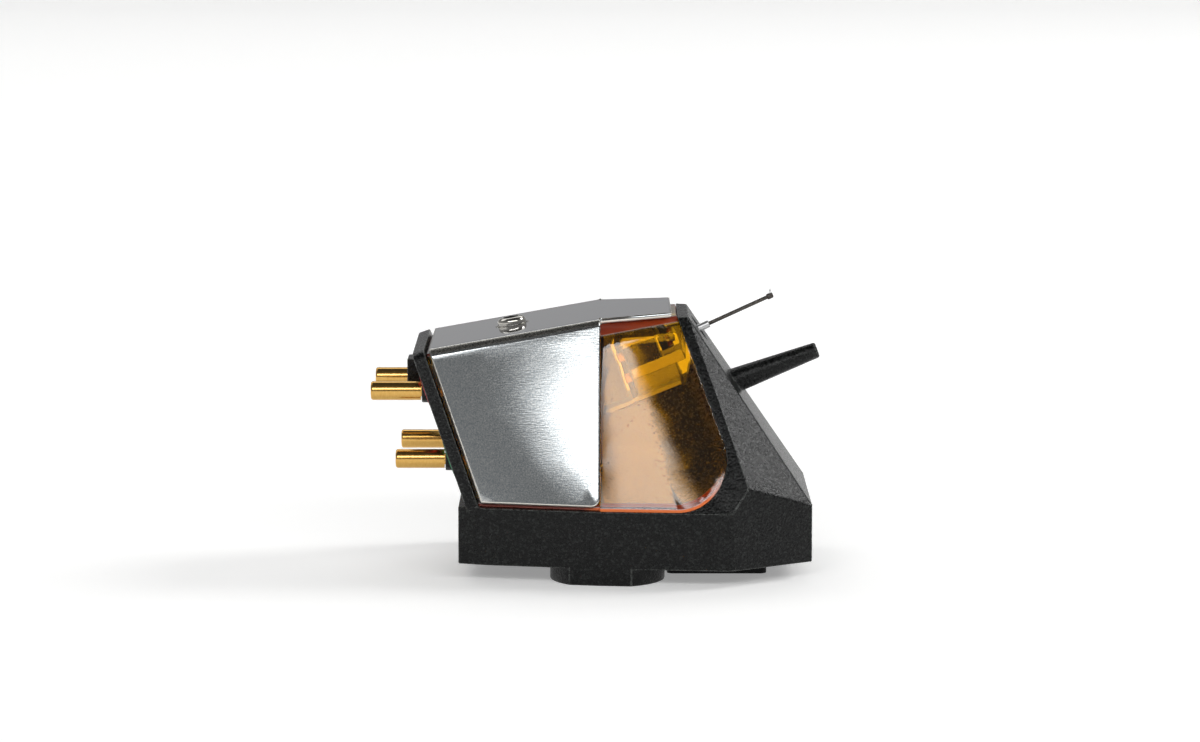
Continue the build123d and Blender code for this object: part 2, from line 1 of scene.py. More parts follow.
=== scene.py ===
# %% [markdown]
# # A moving-coil stylus cartridge, standing on its mounting bosses
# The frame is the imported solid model, in metres: +X to the front, +Z towards the stylus. Blender
# never moves those solids. It gives each one rounded edges and the finish of the real material,
# and sets the studio.

# %% Load the frame
import json
from math import cos, pi, radians, sin

import bmesh
import bpy
import numpy as np
from mathutils.bvhtree import BVHTree
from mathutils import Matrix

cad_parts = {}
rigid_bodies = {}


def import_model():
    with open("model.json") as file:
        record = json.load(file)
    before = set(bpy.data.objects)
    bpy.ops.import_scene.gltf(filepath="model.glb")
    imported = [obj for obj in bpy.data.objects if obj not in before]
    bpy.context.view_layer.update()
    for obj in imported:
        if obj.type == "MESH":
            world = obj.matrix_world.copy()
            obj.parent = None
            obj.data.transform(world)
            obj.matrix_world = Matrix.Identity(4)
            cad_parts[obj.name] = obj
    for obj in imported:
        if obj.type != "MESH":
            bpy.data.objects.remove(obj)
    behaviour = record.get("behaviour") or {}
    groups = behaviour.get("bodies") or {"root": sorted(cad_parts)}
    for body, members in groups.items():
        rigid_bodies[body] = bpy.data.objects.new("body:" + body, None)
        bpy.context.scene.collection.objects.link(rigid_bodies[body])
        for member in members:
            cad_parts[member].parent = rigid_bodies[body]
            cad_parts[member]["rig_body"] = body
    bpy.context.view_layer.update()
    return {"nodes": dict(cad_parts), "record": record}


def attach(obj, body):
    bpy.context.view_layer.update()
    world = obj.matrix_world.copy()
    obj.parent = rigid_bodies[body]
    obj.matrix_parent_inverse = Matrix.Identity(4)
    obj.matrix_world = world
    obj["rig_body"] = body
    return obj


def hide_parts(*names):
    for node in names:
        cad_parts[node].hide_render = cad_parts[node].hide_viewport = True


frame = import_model()
MM = 0.001
slot_of = {row["node"]: row["material_slot"] for row in frame["record"]["subparts"]}

# %% [markdown]
# ## Colours and nodes
# A listed colour is an sRGB value, but a shader works in linear light, so one function
# turns a hex value into linear numbers. One more adds a node: its settings are keyword arguments,
# and its inputs are a dictionary of values or of other nodes' sockets. A pattern's scale always
# comes from a real size in millimetres.

# %% Colour and node helpers


def linear(hex_colour):
    """sRGB hex value as linear red, green, blue and alpha, by the two-part sRGB curve."""
    channels = np.array([int(hex_colour[i:i + 2], 16) for i in (1, 3, 5)]) / 255
    curve = np.where(channels <= 0.04045, channels / 12.92, ((channels + 0.055) / 1.055) ** 2.4)
    return (*curve.tolist(), 1.0)


def per_metre(size_mm):
    """Texture scale of a pattern whose grain is a length in millimetres."""
    return 1 / (size_mm * MM)


def add_node(tree, kind, inputs=None, **settings):
    """Add a node, set its own settings, then fill or link its inputs by name or number."""
    made = tree.nodes.new(kind)
    for name, value in settings.items():
        setattr(made, name, value)
    for name, value in (inputs or {}).items():
        if isinstance(value, bpy.types.NodeSocket):
            tree.links.new(value, made.inputs[name])
        else:
            made.inputs[name].default_value = value
    return made


def start_material(name, constants):
    """New material: its node tree, its shader with constants set, and Object coordinates."""
    material = bpy.data.materials.new(name)
    material.use_nodes = True
    tree = material.node_tree
    shader = tree.nodes["Principled BSDF"]
    for socket, value in constants.items():
        shader.inputs[socket].default_value = value
    place = add_node(tree, "ShaderNodeTexCoord").outputs["Object"]
    return material, tree, shader, place


finish = {}
print("mid grey #808080 is", round(linear("#808080")[0], 3), "in linear light")

# %% [markdown]
# ## Glass-filled resin
# The body is a black resin filled with short glass fibres. Its skin is matt, with pale flecks
# where fibres lie just under it. Noise could stand for the flecks, but it has no hard grains, so
# they are Voronoi cells: a random number in each cell picks the few that are pale. Real fibres
# are about 0.01 mm thick, too fine for this view, so the cells are drawn as wide as a small
# cluster. An attribute says where cells may turn to a third, pale tone. The rounded edges carry
# it as wear, because edges rub pale first. The inner web further on carries it as painted light,
# pale where light would fall on it through the amber.

# %% Moulding


def glass_filled_resin(name, skin_colour, fleck_colour, wear_and_light_colour):
    """Black resin with pale fibre flecks and the fine grain of an eroded mould."""
    fleck_mm, grain_mm, grain_depth_mm, plain_share = 0.12, 0.16, 0.05, 0.62
    material, tree, shader, place = start_material(name, {"Specular IOR Level": 0.22})
    cells = add_node(tree, "ShaderNodeTexVoronoi", {
        "Vector": place, "Scale": per_metre(fleck_mm),
    })
    pick = add_node(tree, "ShaderNodeSeparateColor", {"Color": cells.outputs["Color"]})
    share = add_node(tree, "ShaderNodeMapRange", {
        "Value": pick.outputs["Red"], "From Min": plain_share,
    })
    skin = add_node(tree, "ShaderNodeMix", {
        0: share.outputs["Result"], 6: linear(skin_colour), 7: linear(fleck_colour),
    }, data_type="RGBA")
    # this attribute is wear on the rounded edges and painted light on the inner web
    wear_and_painted_light = add_node(tree, "ShaderNodeAttribute", attribute_name="wear_and_painted_light").outputs["Fac"]
    wear_and_light_share = add_node(tree, "ShaderNodeMath", {
        0: wear_and_painted_light, 1: pick.outputs["Green"],
    }, operation="MULTIPLY")
    colour = add_node(tree, "ShaderNodeMix", {
        0: wear_and_light_share.outputs["Value"], 6: skin.outputs[2], 7: linear(wear_and_light_colour),
    }, data_type="RGBA")
    tree.links.new(colour.outputs[2], shader.inputs["Base Color"])
    grain = add_node(tree, "ShaderNodeTexNoise", {
        "Vector": place, "Scale": per_metre(grain_mm), "Detail": 3.0,
    })
    rough = add_node(tree, "ShaderNodeMapRange", {
        "Value": grain.outputs["Fac"],
        "From Min": 0.3, "From Max": 0.7, "To Min": 0.2, "To Max": 0.36,
    })
    tree.links.new(rough.outputs["Result"], shader.inputs["Roughness"])
    bump = add_node(tree, "ShaderNodeBump", {
        "Height": grain.outputs["Fac"], "Distance": grain_depth_mm * MM,
    })
    tree.links.new(bump.outputs["Normal"], shader.inputs["Normal"])
    return material


finish["glass_filled_moulding"] = glass_filled_resin(
    "glass_filled_resin", "#070808", "#262827", "#505250")
print("made", finish["glass_filled_moulding"].name)

# %% [markdown]
# ## Amber polyetherimide: rim and lip
# The clear cover is polyetherimide, a strong plastic that is amber by nature. Its faces are
# polished, but the rim that seats on the moulding is left frosted, so it scatters light and glows
# orange. Towards the rear, where the steel shades it, the rim is painted dark red: painted shade.
# Painting the rim would need a map of the cover, so it is found by place: the band follows the
# straight foot and the round lower corner, as a distance from that corner's middle. The shoulder
# under the steel is seen along the roof's thickness, a long way through the plastic, so it is
# red. Its normal and a sloping line find it.

# %% Rim and lip of the clear cover


def seat_rim(tree, place):
    """Share of frosting and tone of the rim: the reach is the length of (x - corner, corner - z).

    Negative parts of the reach count as nothing. The frosting fades out up the front. Towards the
    rear the colour is painted dark red, a painted shade where the steel shades the rim.
    """
    corner_mm, corner_x, corner_z, rim_mm, full_share = 3.2, 4.49, 8.05, 0.25, 0.7
    fade_above, fade_below = 0.6, 2.4
    painted_shade_x, open_x = -1.6, -0.4
    centred = add_node(tree, "ShaderNodeMapping", {
        "Vector": place, "Location": (-corner_x * MM, 0, corner_z * MM), "Scale": (1, 0, -1),
    })
    beyond = add_node(tree, "ShaderNodeVectorMath", {
        0: centred.outputs["Vector"], 1: (0, 0, 0),
    }, operation="MAXIMUM")
    reach = add_node(tree, "ShaderNodeVectorMath", {
        0: beyond.outputs["Vector"],
    }, operation="LENGTH")
    band = add_node(tree, "ShaderNodeMapRange", {
        "Value": reach.outputs["Value"],
        "From Min": (corner_mm - rim_mm) * MM, "From Max": (corner_mm - full_share * rim_mm) * MM,
    })
    spot = add_node(tree, "ShaderNodeSeparateXYZ", {"Vector": place})
    low = add_node(tree, "ShaderNodeMapRange", {
        "Value": spot.outputs["Z"],
        "From Min": (corner_z - fade_above) * MM, "From Max": (corner_z - fade_below) * MM,
    })
    frosted = add_node(tree, "ShaderNodeMath", {
        0: band.outputs["Result"], 1: low.outputs["Result"],
    }, operation="MULTIPLY")
    out_of_painted_shade = add_node(tree, "ShaderNodeMapRange", {
        "Value": spot.outputs["X"], "From Min": painted_shade_x * MM, "From Max": open_x * MM,
    })
    # painted shade: the rim is painted dark red towards the rear, where the steel shades it
    tone = add_node(tree, "ShaderNodeMix", {
        0: out_of_painted_shade.outputs["Result"], 6: linear("#7A2A16"), 7: linear("#EC7020"),
    }, data_type="RGBA")
    return frosted.outputs["Value"], tone.outputs[2]


def lip_band(tree, place):
    """Share of the red band: faces that lean like the shoulder, above the line z = lip + rise x."""
    lip_mm, lip_rise, blur_mm = 15.91, 0.13, 0.05
    normal = add_node(tree, "ShaderNodeNewGeometry").outputs["Normal"]
    upward = add_node(tree, "ShaderNodeSeparateXYZ", {"Vector": normal}).outputs["Z"]
    over_side = add_node(tree, "ShaderNodeMapRange", {
        "Value": upward, "From Min": 0.62, "From Max": 0.7,
    })
    over_top = add_node(tree, "ShaderNodeMapRange", {
        "Value": upward, "From Min": 0.9, "From Max": 0.96,
    })
    shoulder = add_node(tree, "ShaderNodeMath", {
        0: over_side.outputs["Result"], 1: over_top.outputs["Result"],
    }, operation="SUBTRACT")
    along_lip = add_node(tree, "ShaderNodeVectorMath", {
        0: place, 1: (-lip_rise, 0, 1),
    }, operation="DOT_PRODUCT")
    near_lip = add_node(tree, "ShaderNodeMapRange", {
        "Value": along_lip.outputs["Value"],
        "From Min": (lip_mm - blur_mm) * MM, "From Max": (lip_mm + blur_mm) * MM,
    })
    band = add_node(tree, "ShaderNodeMath", {
        0: shoulder.outputs["Value"], 1: near_lip.outputs["Result"],
    }, operation="MULTIPLY")
    return band.outputs["Value"]


print("rim and lip are found by place and normal, with no map")

# %% [markdown]
# ## Amber polyetherimide: the clear body
# This plastic bends light more than acrylic, so it mirrors the studio more. Its colour runs
# through the whole thickness: a thin wall looks yellow, and the long way along a rim looks red. A
# tinted skin would colour every thickness alike, so Volume Absorption does it. Its colour and
# density come from how much red, green and blue pass through one millimetre.

# %% Clear cover


def amber_polyetherimide():
    """Clear plastic: each colour that passes a depth d is left with (its share in 1 mm) ^ d."""
    passed_in_one_mm = np.array([0.975, 0.74, 0.06])
    lip_cloud, haze_mm, frost_rough = 0.6, 2.5, 0.6
    rates = -np.log(passed_in_one_mm) / MM
    density = float(rates.max())
    material, tree, shader, place = start_material("amber_polyetherimide", {"IOR": 1.63})
    frosted, rim_colour_and_painted_shade = seat_rim(tree, place)
    lip = lip_band(tree, place)
    thick = add_node(tree, "ShaderNodeMix", {
        0: lip, 6: linear("#FFFFFF"), 7: linear("#9A3008"),
    }, data_type="RGBA")
    tint = add_node(tree, "ShaderNodeMix", {
        0: frosted, 6: thick.outputs[2], 7: rim_colour_and_painted_shade,
    }, data_type="RGBA")
    tree.links.new(tint.outputs[2], shader.inputs["Base Color"])
    milky = add_node(tree, "ShaderNodeMath", {0: lip, 1: lip_cloud}, operation="MULTIPLY")
    cloudy = add_node(tree, "ShaderNodeMath", {
        0: milky.outputs["Value"], 1: frosted,
    }, operation="MAXIMUM")
    clear = add_node(tree, "ShaderNodeMath", {
        0: 1.0, 1: cloudy.outputs["Value"],
    }, operation="SUBTRACT")
    tree.links.new(clear.outputs["Value"], shader.inputs["Transmission Weight"])
    haze = add_node(tree, "ShaderNodeTexNoise", {"Vector": place, "Scale": per_metre(haze_mm)})
    gloss = add_node(tree, "ShaderNodeMapRange", {
        "Value": haze.outputs["Fac"], "To Min": 0.02, "To Max": 0.06,
    })
    rough = add_node(tree, "ShaderNodeMix", {
        0: cloudy.outputs["Value"], 2: gloss.outputs["Result"], 3: frost_rough,
    }, data_type="FLOAT")
    tree.links.new(rough.outputs[0], shader.inputs["Roughness"])
    body = add_node(tree, "ShaderNodeVolumeAbsorption", {
        "Color": (*(1 - rates / density).tolist(), 1.0), "Density": density,
    })
    tree.links.new(body.outputs["Volume"], tree.nodes["Material Output"].inputs["Volume"])
    return material


finish["clear_amber"] = amber_polyetherimide()
print("made", finish["clear_amber"].name)

# %% [markdown]
# ## Rolled steel sheet
# The folded cover has a satin side with short streaks along the rolling direction, and a top that
# has been polished until it mirrors the screw. Each face could have its own material, but round a
# bend one look runs into the next. So one material does them all: the upward part of the normal
# tells the plate from the panels, from the bend where the metal is stretched, and from the
# sheared edges of the sheet. The sheared edges are painted warm white, a painted highlight and a
# painted reflection of the amber.

# %% Sheet cover


def steel_tone(tree, speck, leaning, pulled, polish):
    """Sheet colour: specked panels, painted highlight on sheared edges, grainy bend, polished
    plate.
    """
    plain = add_node(tree, "ShaderNodeMix", {
        0: speck, 6: linear("#A3ABB0"), 7: linear("#D8DAD9"),
    }, data_type="RGBA")
    # painted highlight: the sheared edges are painted warm white, a painted reflection of the amber
    sheared_edge_painted_highlight = add_node(tree, "ShaderNodeMix", {
        0: leaning, 6: linear("#F0ECE3"), 7: plain.outputs[2],
    }, data_type="RGBA")
    stretched = add_node(tree, "ShaderNodeMix", {
        0: speck, 6: linear("#45443F"), 7: linear("#D2D0C8"),
    }, data_type="RGBA")
    sheet = add_node(tree, "ShaderNodeMix", {
        0: pulled, 6: sheared_edge_painted_highlight.outputs[2], 7: stretched.outputs[2],
    }, data_type="RGBA")
    tone = add_node(tree, "ShaderNodeMix", {
        0: polish, 6: sheet.outputs[2], 7: linear("#B9BABF"),
    }, data_type="RGBA")
    return tone.outputs[2]


def rolled_steel():
    """Stainless sheet: streaked satin panels, a polished plate, a grainy bend, dull edges."""
    streak_mm, streak_length, grain_mm, streak_depth_mm = 0.08, 6.0, 0.08, 0.0022
    edge_rough, bend_rough, plate_rough = 0.5, 0.3, 0.05
    material, tree, shader, place = start_material("rolled_stainless_steel", {"Metallic": 1.0})
    drawn = add_node(tree, "ShaderNodeMapping", {
        "Vector": place, "Scale": (1 / streak_length, 1, 1),
    })
    streaks = add_node(tree, "ShaderNodeTexNoise", {
        "Vector": drawn.outputs["Vector"], "Scale": per_metre(streak_mm), "Detail": 3.0,
    })
    grain = add_node(tree, "ShaderNodeTexNoise", {
        "Vector": place, "Scale": per_metre(grain_mm), "Detail": 2.0,
    })
    speck = add_node(tree, "ShaderNodeMapRange", {
        "Value": grain.outputs["Fac"], "From Min": 0.3, "From Max": 0.7,
    })
    normal = add_node(tree, "ShaderNodeNewGeometry").outputs["Normal"]
    upward = add_node(tree, "ShaderNodeSeparateXYZ", {"Vector": normal}).outputs["Z"]
    leaning, bend, polish = [add_node(tree, "ShaderNodeMapRange", {
        "Value": upward, "From Min": least, "From Max": most,
    }).outputs["Result"] for least, most in ((0.03, 0.1), (0.45, 0.6), (0.93, 0.97))]
    pulled = add_node(tree, "ShaderNodeMath", {0: bend, 1: polish}, operation="SUBTRACT")
    tone = steel_tone(tree, speck.outputs["Result"], leaning, pulled.outputs["Value"], polish)
    tree.links.new(tone, shader.inputs["Base Color"])
    satin = add_node(tree, "ShaderNodeMapRange", {
        "Value": grain.outputs["Fac"], "To Min": 0.06, "To Max": 0.12,
    })
    side = add_node(tree, "ShaderNodeMix", {
        0: leaning, 2: edge_rough, 3: satin.outputs["Result"],
    }, data_type="FLOAT")
    fold = add_node(tree, "ShaderNodeMix", {
        0: bend, 2: side.outputs[0], 3: bend_rough,
    }, data_type="FLOAT")
    rough = add_node(tree, "ShaderNodeMix", {
        0: polish, 2: fold.outputs[0], 3: plate_rough,
    }, data_type="FLOAT")
    tree.links.new(rough.outputs[0], shader.inputs["Roughness"])
    flat = add_node(tree, "ShaderNodeMapRange", {"Value": polish, "To Min": 1.0, "To Max": 0.0})
    relief = add_node(tree, "ShaderNodeMix", {
        0: pulled.outputs["Value"], 2: streaks.outputs["Fac"], 3: grain.outputs["Fac"],
    }, data_type="FLOAT")
    bump = add_node(tree, "ShaderNodeBump", {
        "Height": relief.outputs[0], "Strength": flat.outputs["Result"],
        "Distance": streak_depth_mm * MM,
    })
    tree.links.new(bump.outputs["Normal"], shader.inputs["Normal"])
    return material


finish["sheet_steel"] = rolled_steel()
print("made", finish["sheet_steel"].name)

# %% [markdown]
# ## Other metals
# Gold plate, the screw, the aluminium carrier and sleeve, nickel plate, ground pole steel and
# enamelled copper differ in colour and gloss, and in the marks that their making left: a lathe
# leaves fine rings, a grinder leaves straight lines. They differ in numbers only, so one function
# makes them: noise of a given grain, drawn out in the direction that the marks follow.

# %% Worked metal


def worked_metal(name, dark, bright, gloss, mark_mm, stretch):
    """Metal with tool marks: noise of one grain, drawn out along axes of large stretch."""
    material, tree, shader, place = start_material(name, {"Metallic": 1.0})
    squeeze = tuple(1 / factor for factor in stretch)
    drawn = add_node(tree, "ShaderNodeMapping", {"Vector": place, "Scale": squeeze})
    marks = add_node(tree, "ShaderNodeTexNoise", {
        "Vector": drawn.outputs["Vector"], "Scale": per_metre(mark_mm), "Detail": 2.0,
    })
    tone = add_node(tree, "ShaderNodeMix", {
        0: marks.outputs["Fac"], 6: linear(dark), 7: linear(bright),
    }, data_type="RGBA")
    tree.links.new(tone.outputs[2], shader.inputs["Base Color"])
    rough = add_node(tree, "ShaderNodeMapRange", {
        "Value": marks.outputs["Fac"],
        "From Min": 0.25, "From Max": 0.75, "To Min": gloss[0], "To Max": gloss[1],
    })
    tree.links.new(rough.outputs["Result"], shader.inputs["Roughness"])
    return material


# slot: name, darker and brighter tone, least and most roughness, width of a mark in mm, stretch
metals = {
    "screw_steel": ("turned_steel", "#B4B1AA", "#C6C3BC", (0.05, 0.1), 0.2, (4, 4, 1)),
    "gold": ("gold_plate", "#CA984C", "#E0B96E", (0.12, 0.22), 0.06, (1, 5, 5)),
    "carrier_aluminium": ("milled_aluminium", "#B4B5B6", "#D2D2D1", (0.24, 0.4), 0.06, (6, 1, 1)),
    "nickel_plate": ("black_nickel_plate", "#3A3733", "#4A4641", (0.22, 0.36), 0.2, (1, 1, 1)),
    "pole_steel": ("ground_steel", "#C8C6C1", "#E0DED9", (0.12, 0.22), 0.05, (8, 1, 1)),
    "copper_wire": ("enamelled_copper", "#9C4F22", "#C8743C", (0.18, 0.3), 0.05, (1, 1, 1)),
    "boron": ("drawn_boron", "#3B3936", "#5B5853", (0.2, 0.34), 0.04, (6, 1, 6)),
}
finish.update({slot: worked_metal(*look) for slot, look in metals.items()})
print("metals", len(metals))

# %% [markdown]
# ## Plastics, rubber and resin
# The colour washers, the laminate board, the rubber damper and the drop of resin at the tip are
# dull, and differ in colour and in grain. Two close tones and a grainy skin, both from one noise,
# are enough for all of them. The diamond is clear, with a high index of refraction, so it is made
# on its own.

# %% Dull materials and the diamond


def dull_solid(name, dark, bright, gloss, grain_mm, grain_depth_mm):
    """Plastic, rubber or resin: two close tones and a grainy skin from one noise."""
    material, tree, shader, place = start_material(name, {})
    grain = add_node(tree, "ShaderNodeTexNoise", {
        "Vector": place, "Scale": per_metre(grain_mm), "Detail": 3.0,
    })
    tone = add_node(tree, "ShaderNodeMix", {
        0: grain.outputs["Fac"], 6: linear(dark), 7: linear(bright),
    }, data_type="RGBA")
    tree.links.new(tone.outputs[2], shader.inputs["Base Color"])
    rough = add_node(tree, "ShaderNodeMapRange", {
        "Value": grain.outputs["Fac"], "To Min": gloss[0], "To Max": gloss[1],
    })
    tree.links.new(rough.outputs["Result"], shader.inputs["Roughness"])
    bump = add_node(tree, "ShaderNodeBump", {
        "Height": grain.outputs["Fac"], "Distance": grain_depth_mm * MM,
    })
    tree.links.new(bump.outputs["Normal"], shader.inputs["Normal"])
    return material


def cut_diamond():
    """Diamond: clear, nearly white, with a faint unevenness of polish."""
    polish_mm = 0.05
    material, tree, shader, place = start_material("diamond", {
        "Base Color": linear("#F4F6F7"), "Transmission Weight": 1.0, "IOR": 2.42,
    })
    polish = add_node(tree, "ShaderNodeTexNoise", {
        "Vector": place, "Scale": per_metre(polish_mm),
    })
    rough = add_node(tree, "ShaderNodeMapRange", {
        "Value": polish.outputs["Fac"], "To Min": 0.0, "To Max": 0.06,
    })
    tree.links.new(rough.outputs["Result"], shader.inputs["Roughness"])
    return material


# slot: name, darker and brighter tone, least and most roughness, grain and its depth in mm
dull_solids = {
    "board_laminate": ("glass_laminate", "#3A3018", "#524420", (0.35, 0.5), 0.12, 0.004),
    "damper_rubber": ("butyl_rubber", "#0C0C0C", "#171717", (0.65, 0.85), 0.08, 0.006),
    "adhesive": ("cured_resin", "#2B2723", "#453E37", (0.15, 0.3), 0.1, 0.004),
    "plastic_red": ("red_nylon", "#B42A38", "#CC3C48", (0.4, 0.55), 0.1, 0.003),
    "plastic_green": ("green_nylon", "#1E7A50", "#329064", (0.4, 0.55), 0.1, 0.003),
    "plastic_white": ("white_nylon", "#DCDBD4", "#ECEBE5", (0.4, 0.55), 0.1, 0.003),
    "plastic_blue": ("blue_nylon", "#2A4E9C", "#3C62B4", (0.4, 0.55), 0.1, 0.003),
}
finish.update({slot: dull_solid(*look) for slot, look in dull_solids.items()})
finish["diamond"] = cut_diamond()
print("materials", len(finish))

# %% [markdown]
# ## Rounded edges
# No moulded, bent or ground edge is perfectly sharp, and the thin bright line along an edge is
# most of what tells the eye that a thing is solid. A Bevel modifier could add it, but the packed
# solids are loose triangles, which hide the real edges. So each piece here is a merged copy: flat
# faces become whole again, and every edge that turns by more than a limit gets a small rounded
# bevel. The work is done in millimetres, because the bevel tool treats very small lengths as
# nothing. Where edges meet at a sharp angle the bevel can throw a corner far out, so a corner
# that strays from the old skin is put back on it.

# %% Rounded copies


def place_piece(piece, node, material):
    """Put a finished piece in the scene for a node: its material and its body."""
    bpy.context.scene.collection.objects.link(piece)
    piece.data.materials.append(material)
    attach(piece, frame["nodes"][node]["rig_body"])
    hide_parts(node)
    return piece


def rounded_copy(node, edge_mm, steps):
    """Merged copy of a node with its sharp edges rounded by a bevel of a width in millimetres."""
    flat_turn, sharp_turn, smooth_turn = radians(0.3), radians(28), radians(50)
    merge_mm, stray_share = 0.0005, 0.6
    work = bmesh.new()
    work.from_mesh(frame["nodes"][node].data)
    bmesh.ops.scale(work, vec=(1 / MM,) * 3, verts=work.verts)
    bmesh.ops.remove_doubles(work, verts=work.verts, dist=merge_mm)
    bmesh.ops.dissolve_limit(work, angle_limit=flat_turn, verts=work.verts, edges=work.edges)
    wear_and_painted_light = work.faces.layers.float.new("wear_and_painted_light")
    skin = BVHTree.FromBMesh(work)
    sharp = [edge for edge in work.edges
             if len(edge.link_faces) == 2 and edge.calc_face_angle() > sharp_turn]
    made = bmesh.ops.bevel(
        work, geom=sharp, offset=edge_mm, offset_type="OFFSET", segments=steps, profile=0.5,
        affect="EDGES", clamp_overlap=False)
    for face in made["faces"]:
        face[wear_and_painted_light] = 1.0
    for vertex in work.verts:
        nearest, _, _, gap_mm = skin.find_nearest(vertex.co)
        if gap_mm > stray_share * edge_mm:
            vertex.co = nearest
    bmesh.ops.scale(work, vec=(MM,) * 3, verts=work.verts)
    mesh = bpy.data.meshes.new(f"{node}_rounded")
    work.to_mesh(mesh)
    work.free()
    mesh.polygons.foreach_set("use_smooth", np.ones(len(mesh.polygons), bool))
    mesh.set_sharp_from_angle(angle=smooth_turn)
    piece = bpy.data.objects.new(f"{node}_rounded", mesh)
    weighted = piece.modifiers.new("even_shading", "WEIGHTED_NORMAL")
    weighted.keep_sharp = True
    return place_piece(piece, node, finish[slot_of[node]])


# node: width of the rounded edge in mm, steps across it
edge_of = {
    "body_moulding": (0.07, 2), "sheet_cover": (0.14, 4), "clear_cover": (0.05, 2),
    "generator_carrier": (0.03, 2), "magnet": (0.05, 2),
    "lower_pole": (0.03, 2), "upper_pole": (0.03, 2),
    "coil_board": (0.02, 2), "solder_tags": (0.06, 3),
    "damper": (0.05, 3), "armature": (0.015, 2), "coil_left": (0.02, 2), "coil_right": (0.02, 2),
    "cantilever_sleeve": (0.02, 2), "cantilever_rod": (0.02, 2),
    "bead": (0.03, 2), "stylus": (0.006, 2),
}
pin_colours = ("red", "green", "white", "blue")
edge_of.update({f"washer_{colour}": (0.03, 2) for colour in pin_colours})
for node, (edge_mm, steps) in edge_of.items():
    made = rounded_copy(node, edge_mm, steps)
    print(node, "faces", len(made.data.polygons))

# %% [markdown]
# ## Turned pieces
# The pins come off a lathe, so each is a surface of revolution: a profile of distances along an
# axis and radii, carried round in equal steps. The Screw modifier could turn a profile too, but
# only into circles. Here the radius may depend on the angle as well: a pin ends in a square shank
# that keeps it from turning in the wall, and the screw has a thread outside and a hexagon inside.
# So one function takes a whole grid of radii.

# %% Surfaces of revolution


def turned_mesh(name, origin, axis, along, radius):
    """Closed surface: point = origin + axis * along + (u cos t + v sin t) * radius, with poles.

    along has one value per ring. radius has one row per ring and one column per step of t. The
    axis must not lie along y.
    """
    sharp_turn = radians(40)
    axis = np.array(axis) / np.linalg.norm(axis)
    u = np.cross(axis, (0.0, 1.0, 0.0))
    u = u / np.linalg.norm(u)
    v = np.cross(axis, u)
    rings, steps = radius.shape
    turn = 2 * pi * np.arange(steps) / steps
    spoke = np.cos(turn)[:, None] * u + np.sin(turn)[:, None] * v
    points = origin + along[:, None, None] * axis + radius[:, :, None] * spoke
    poles = origin + along[[0, -1], None] * axis
    ring, step = np.meshgrid(np.arange(rings - 1), np.arange(steps), indexing="ij")
    nearby = (step + 1) % steps
    quads = np.stack([ring * steps + step, ring * steps + nearby,
                      (ring + 1) * steps + nearby, (ring + 1) * steps + step], -1).reshape(-1, 4)
    here, after = np.arange(steps), (np.arange(steps) + 1) % steps
    first = np.stack([np.full(steps, rings * steps), after, here], -1)
    last = np.stack([np.full(steps, rings * steps + 1), here, after], -1)
    last[:, 1:] += (rings - 1) * steps
    mesh = bpy.data.meshes.new(name)
    corners = np.concatenate([points.reshape(-1, 3), poles])
    mesh.from_pydata(corners.tolist(), [], quads.tolist() + first.tolist() + last.tolist())
    mesh.polygons.foreach_set("use_smooth", np.ones(len(mesh.polygons), bool))
    mesh.set_sharp_from_angle(angle=sharp_turn)
    return mesh


def polygon_radius(turn, sides, half_width):
    """Radius of a regular polygon at t: half_width / cos(t - middle of the nearest side)."""
    step = 2 * pi / sides
    return half_width / np.cos((turn + step / 2) % step - step / 2)


def node_points(node):
    """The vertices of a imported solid, and the middle of the box round them."""
    source = frame["nodes"][node].data
    points = np.empty(len(source.vertices) * 3)
    source.vertices.foreach_get("co", points)
    points = points.reshape(-1, 3)
    return points, (points.min(0) + points.max(0)) / 2


round_steps = 9
print("a square's corner is at", round(float(polygon_radius(pi / 4, 4, 1.0)), 3), "half widths")

# %% [markdown]
# ## Output pins
# Each pin is a gold-plated rod with a round tip, for the lead clips. Its sizes are read from its
# solid, so it follows a change there. A cylinder with a bevel would nearly do, but the square
# shank behind the shoulder needs the grid of radii.

# %% Pins


def pin_mesh(node):
    """Turned pin: quarter circle at the tip, plain body, then a square shank in the wall."""
    tip_round_mm, steps, body_share, end_mm = 0.16, 64, 0.95, 0.01
    points, middle = node_points(node)
    reach = points[:, 0] - points[:, 0].min()
    across = np.linalg.norm(points[:, 1:] - middle[1:], axis=1)
    radius, length = across.max(), reach.max()
    shoulder = reach[across > body_share * radius].max()
    shank_half = across[reach > length - end_mm * MM].max() / np.sqrt(2)
    turn = 2 * pi * np.arange(steps) / steps
    bend = np.linspace(0, pi / 2, round_steps)
    tip = tip_round_mm * MM
    square = polygon_radius(turn, 4, shank_half)
    along = np.concatenate([tip * (1 - np.cos(bend)), [shoulder, shoulder, length]])
    round_part = np.concatenate([radius - tip * (1 - np.sin(bend)), [radius]])
    rim = np.concatenate([np.repeat(round_part[:, None], steps, 1), [square, square]])
    origin = np.array([points[:, 0].min(), middle[1], middle[2]])
    return turned_mesh(f"{node}_turned", origin, (1, 0, 0), along, rim)


for colour in pin_colours:
    node = f"pin_{colour}"
    pin = pin_mesh(node)
    place_piece(bpy.data.objects.new(pin.name, pin), node, finish[slot_of[node]])
print("pins turned, faces each", len(pin.polygons))

# %% [markdown]
# ## Set screw
# The set screw stands square to the sloping plate. Its axis is read from its solid: the direction
# in which the vertices spread the most. The thread is a ridge that climbs one pitch a turn and
# runs out below the plain neck, which ends in a round rim. A thread could be a helix joined to a
# cylinder, but as a change of radius it needs no joining. The socket is a hexagon.

# %% Screw


